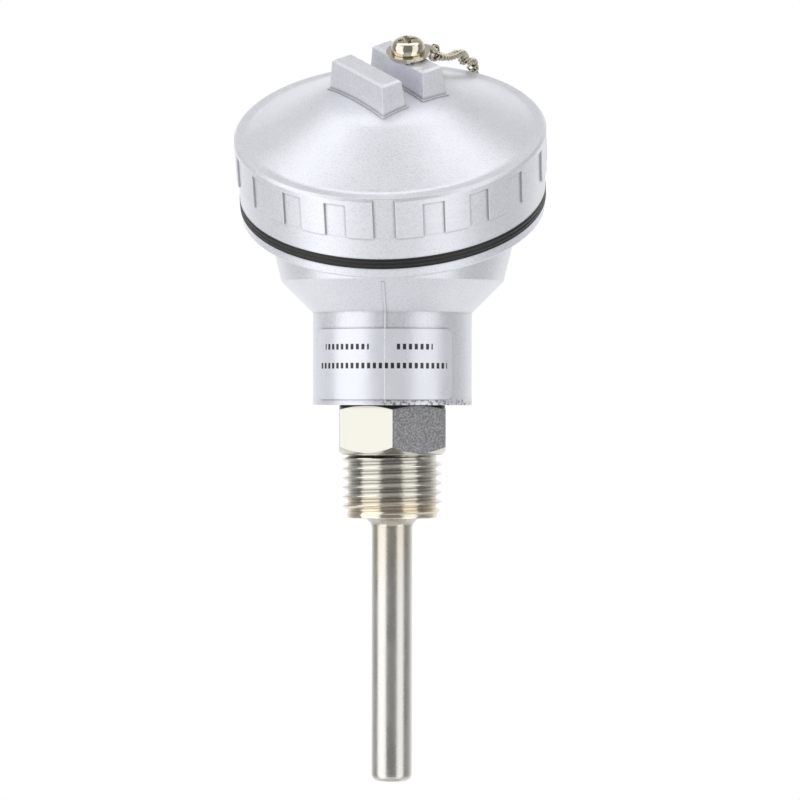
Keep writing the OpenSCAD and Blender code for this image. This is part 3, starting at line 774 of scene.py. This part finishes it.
# %% The curve that the links follow
def swung(place, share, most=math.radians(7)):
    """A link's middle after a turn round the cap's axis, most in the first third of the chain."""
    turn = most * math.sin(math.pi * share**0.7) ** 2
    about = cap_frame @ Matrix.Rotation(turn, 4, "Z") @ cap_frame.inverted()
    return about @ (Vector(place) * MM) / MM


def curve_through(name, points, bevel=0.0):
    """A curve through points in mm, with a round section if it has a bevel."""
    data = bpy.data.curves.new(name, "CURVE")
    data.dimensions = "3D"
    strand = data.splines.new("POLY")
    strand.points.add(len(points) - 1)
    for point, place in zip(strand.points, points):
        point.co = (*(Vector(place) * MM), 1)
    data.bevel_depth = bevel * MM
    data.bevel_resolution = 2
    data.use_fill_caps = True
    curve = bpy.data.objects.new(name, data)
    bpy.context.scene.collection.objects.link(curve)
    return curve


strand = curve_through("strand", [swung(link[0], i / len(links)) for i, link in enumerate(links)])
print("strand has", len(strand.data.splines[0].points), "points")


# %% Node trees for geometry
class Recipe(Nodes):
    """A Geometry Nodes tree with named inputs."""

    def __init__(self, name, **inputs):
        super().__init__(bpy.data.node_groups.new(name, "GeometryNodeTree"))
        self.sockets = {}
        self.socket("Geometry", "INPUT", "NodeSocketGeometry")
        for title, kind in inputs.items():
            self.sockets[title] = self.socket(title.replace("_", " "), "INPUT", kind).identifier
        self.socket("Geometry", "OUTPUT", "NodeSocketGeometry")
        self.inputs = self.add("NodeGroupInput")

    def socket(self, title, side, kind):
        return self.tree.interface.new_socket(title, in_out=side, socket_type=kind)

    def given(self, title):
        return self.inputs.sibling(title.replace("_", " "))

    def build(self, base, name, **values):
        """Run the recipe on an object and return the result as a plain mesh."""
        step = base.modifiers.new(name, "NODES")
        step.node_group = self.tree
        for title, value in values.items():
            step[self.sockets[title]] = value
        bpy.context.view_layer.update()
        mesh = as_mesh(base)
        base.modifiers.remove(step)
        return mesh


NUMBER = "NodeSocketFloat"
chain = Recipe(
    "twisted_chain", Link_radius=NUMBER, Wire_radius=NUMBER, Twist=NUMBER,
    Finish="NodeSocketMaterial",
)
print("inputs of the chain:", list(chain.sockets))

# %% Bend one round of wire into a twisted link
radius = chain.given("Link_radius")
circle = chain.add("GeometryNodeCurvePrimitiveCircle", None, Resolution=28, Radius=radius)
upright = chain.add("GeometryNodeTransform", None, circle, Rotation=(math.pi / 2, 0, 0))
wire = chain.given("Wire_radius")
section = chain.add("GeometryNodeCurvePrimitiveCircle", None, Resolution=8, Radius=wire)
loop = chain.add("GeometryNodeCurveToMesh", None, upright, Profile_Curve=section)
spot = chain.add("GeometryNodeInputPosition")
x, y, along = chain.split(spot)
twist = along / radius * chain.given("Twist")
bent = chain.add("ShaderNodeVectorRotate", {"rotation_type": "Z_AXIS"}, spot, Angle=twist)
twisted = chain.add("GeometryNodeSetPosition", None, loop, Position=bent)
print("link bent from", circle.socket.node.inputs["Resolution"].default_value, "steps")

# %% Set a link on each point of the curve
own_points = {"mode": "EVALUATED"}
points = chain.add("GeometryNodeCurveToPoints", own_points, chain.given("Geometry"))
turn = points.sibling("Rotation")
placed = chain.add("GeometryNodeInstanceOnPoints", None, points, Instance=twisted, Rotation=turn)
whole = chain.add("GeometryNodeRealizeInstances", None, placed)
coated = chain.add("GeometryNodeSetMaterial", None, whole, Material=chain.given("Finish"))
chain.add("NodeGroupOutput", None, coated)
print("chain recipe has", len(chain.tree.nodes), "nodes")

# %% Thread the links
WIRE_R = 0.22
link_r = np.median([link[1] for link in links]) - WIRE_R
chain_mesh = chain.build(
    strand, "links", Link_radius=link_r * MM, Wire_radius=WIRE_R * MM, Twist=math.pi / 4,
    Finish=chain_nickel,
)
bpy.data.objects.remove(strand)
print("links have", len(chain_mesh.polygons), "faces")


# %% Close both ends with a split ring
def split_ring(ring, wire=0.2, turns=1.9, steps=56):
    """A round of wire that passes itself once, like a key ring, as a curve of its own."""
    middle, reach, axis = Vector(ring[0]), float(ring[1]) - wire, Vector(ring[2])
    side = axis.orthogonal().normalized()
    across = axis.cross(side)
    places = []
    for i in range(steps + 1):
        a = 2 * math.pi * turns * i / steps
        rise = (i / steps - 0.5) * 2 * wire * turns
        places.append(middle + reach * (math.cos(a) * side + math.sin(a) * across) + rise * axis)
    return curve_through("split_ring", places, wire)


work = bmesh.new()
work.from_mesh(chain_mesh)
for ring in (first_ring, last_ring):
    coil = split_ring(ring)
    work.from_mesh(as_mesh(coil))
    bpy.data.objects.remove(coil)
work.to_mesh(chain_mesh)
work.free()
chain_piece = close_mesh("keeper_chain", chain_mesh, 50)
finish_piece(chain_piece, chain_nickel, "nickel", None, "chain_links")
tuple(last_ring[0] * MM)
tuple(first_ring[0] * MM)
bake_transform(chain_piece)

# %% [markdown]
# ## The label
#
# A pale foil label with round corners lies on the front of the neck. It is a thin closed shell,
# bent to the neck's radius. It carries two plain rows of short dashes and no words, and the seam of
# the casting shows through it as a faint line. A decal laid on the neck would do from afar, but a
# shell of its own has an edge that catches the light.

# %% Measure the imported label
film_points = np.array([v.co for v in frame["nodes"]["label_film"].data.vertices]) / MM
film_angles = np.arctan2(film_points[:, 1], film_points[:, 0])
film_radii = np.hypot(film_points[:, 0], film_points[:, 1])
film_r, film_out = film_radii.min() + 0.002, film_radii.max() - 0.02
film_mid = (film_angles.min() + film_angles.max()) / 2
film_wide = (film_angles.max() - film_angles.min()) * film_r
film_low, film_high = film_points[:, 2].min(), film_points[:, 2].max()
print("label", round(film_wide, 1), "by", round(film_high - film_low, 1), "mm")

# %% Rows of points across the label
CORNER = 1.3
half = film_wide / 2
edge = CORNER * (1 - np.cos(np.linspace(0, math.pi / 2, 7)))
between = np.linspace(CORNER, film_wide - CORNER, 40)[1:-1] - half
rows = []
for s in np.concatenate([edge - half, between, (half - edge)[::-1]]):
    inside = min(half - abs(s), CORNER)
    cut = CORNER - math.sqrt(max(CORNER**2 - (CORNER - inside) ** 2, 0))
    a = film_mid + s / film_r
    heights = np.linspace(film_low + cut, film_high - cut, 6)
    loop = [(film_out, h) for h in heights] + [(film_r, h) for h in heights[::-1]]
    rows.append([(r * math.cos(a), r * math.sin(a), h) for r, h in loop])
print(len(rows), "rows of", len(rows[0]), "points")

# %% Shape of the label
around, last = len(rows[0]), len(rows) - 1
faces = []
for i in range(last):
    for j in range(around):
        k = (j + 1) % around
        corners = ((i, j), (i, k), (i + 1, k), (i + 1, j))
        faces.append(tuple(row * around + column for row, column in corners))
faces += [tuple(range(around)), tuple(last * around + j for j in range(around))]
film_mesh = bpy.data.meshes.new("foil_label")
film_mesh.from_pydata((np.array(rows).reshape(-1, 3) * MM).tolist(), [], faces)
film_piece = close_mesh("foil_label", film_mesh)
print("label has", len(faces), "faces")

# %% Rows of dashes
DASH_STEP, DASH_SHARE = 0.95, 0.55
UPPER_ROW, LOWER_ROW = (7.9, 8.8), (4.9, 5.8)
film = Finish("pale_foil")
spot, x, y, z = film.place()
place = (y.of("ARCTAN2", x) - film_mid) * film_r
height = z * (1 / MM) - film_low


def dashes(start, end, row):
    """Dashes from start to end in mm along the label, between the two heights of a row."""
    within = (place > start) * (place < end) * (height > row[0]) * (height < row[1])
    return within * ((place * (1 / DASH_STEP)).of("FRACT") < DASH_SHARE)


ink = dashes(-10.2, -1.6, UPPER_ROW) + dashes(2.8, 8.8, UPPER_ROW) + dashes(-11.4, 11.6, LOWER_ROW)
print("dashes set in", film.material.name)

# %% Its finish: pale foil
haze = film.noise(spot, 3.0, 2.0)
over_seam = film.fade(x.of("ABSOLUTE"), 0.16 * MM, 0.06 * MM)
pale = film.mix(haze, rgb(0.89, 0.92, 1.0), rgb(0.93, 0.95, 1.0))
paper = film.mix(over_seam * 0.5, pale, rgb(0.97, 0.985, 1.0))
pale_foil = film.surface(
    Base_Color=film.mix(ink, paper, rgb(0.03, 0.03, 0.035)),
    Metallic=0.30 - ink * 0.30,
    Roughness=film.fade(haze, 0.3, 0.7, 0.26, 0.34),
    Normal=film.bump(over_seam, 0.02),
)
finish_piece(film_piece, pale_foil, "film", "head", "label_film")

# %% [markdown]
# ## The studio
#
# A light tent: white behind, dimmer in front where the camera stands, and lit again from below. A
# tall soft box on each side makes the two bright bands on every upright cylinder, and a narrow one
# overhead makes the bands on the dome. The camera sees pure white, and so do the glossy and
# transmitted rays that leave towards the back. The floor lies far below, so that the undersides of
# the thread stay dark.

# %% Light of the world, by direction
world = bpy.data.worlds.new("studio")
bpy.context.scene.world = world
world.use_nodes = True
tent = Nodes(world.node_tree)
x, depth, rise = tent.split(tent.add("ShaderNodeTexCoord", out="Generated"))
ambient = tent.fade(depth, -0.1, 0.95, 0.24, 0.65)
from_below = tent.add("ShaderNodeMapRange", None, rise, -0.3, -0.9, 0.0, 0.6)
behind = tent.fade(depth, 0.55, 0.9)
seen = tent.add("ShaderNodeLightPath", out="Is Camera Ray")
shining = seen.sibling("Is Glossy Ray").of("MAXIMUM", seen.sibling("Is Transmission Ray"))
white = seen.of("MAXIMUM", shining * behind)
strength = tent.add("ShaderNodeMix", None, white, A=ambient + from_below, B=1.0)
glow = tent.add("ShaderNodeBackground", None, rgb(1, 1, 1), strength)
tent.add("ShaderNodeOutputWorld", None, glow)
print("world has", len(tent.tree.nodes), "nodes")

# %% Soft boxes
AIM = Vector((0, 0, 0.02))
FAR = 0.8


def soft_box(name, azimuth, elevation, width, height, power):
    """A lamp facing the head. Azimuth 0 is where the camera stands, and it grows to the right."""
    lamp = bpy.data.lights.new(name, "AREA")
    lamp.shape = "RECTANGLE"
    lamp.size, lamp.size_y = width, height
    lamp.energy = power
    box = bpy.data.objects.new(name, lamp)
    bpy.context.scene.collection.objects.link(box)
    a, e = math.radians(azimuth), math.radians(elevation)
    away = Vector((math.sin(a) * math.cos(e), -math.cos(a) * math.cos(e), math.sin(e)))
    box.location = AIM + away * FAR
    box.rotation_euler = away.to_track_quat("Z", "Y").to_euler()


soft_box("left_box", -56, 2, 0.84, 2.0, 6.4)
soft_box("right_box", 54, 2, 0.60, 2.0, 3.8)
soft_box("top_box", 0, 86, 1.3, 0.42, 2.3)

# %% A pale floor, which the camera sees as white
FLOOR_R, FLOOR_Z = 0.3, -0.5
floor_mesh = bpy.data.meshes.new("floor")
disc = bmesh.new()
bmesh.ops.create_circle(disc, cap_ends=True, segments=96, radius=FLOOR_R)
disc.to_mesh(floor_mesh)
disc.free()
card = Finish("floor_card")
seen = card.add("ShaderNodeLightPath", out="Is Camera Ray")
floor_card = card.surface(
    Base_Color=rgb(0.9, 0.9, 0.9),
    Metallic=0.0,
    Roughness=0.6,
    Emission_Color=card.mix(seen, rgb(0.0, 0.0, 0.0), rgb(0.42, 0.42, 0.42)),
    Emission_Strength=1.0,
)
floor_mesh.materials.append(floor_card)
floor = bpy.data.objects.new("floor", floor_mesh)
bpy.context.scene.collection.objects.link(floor)
floor.location = (0, 0, FLOOR_Z)
bpy.context.scene.view_settings.view_transform = "Standard"
print("floor at", FLOOR_Z, "m")
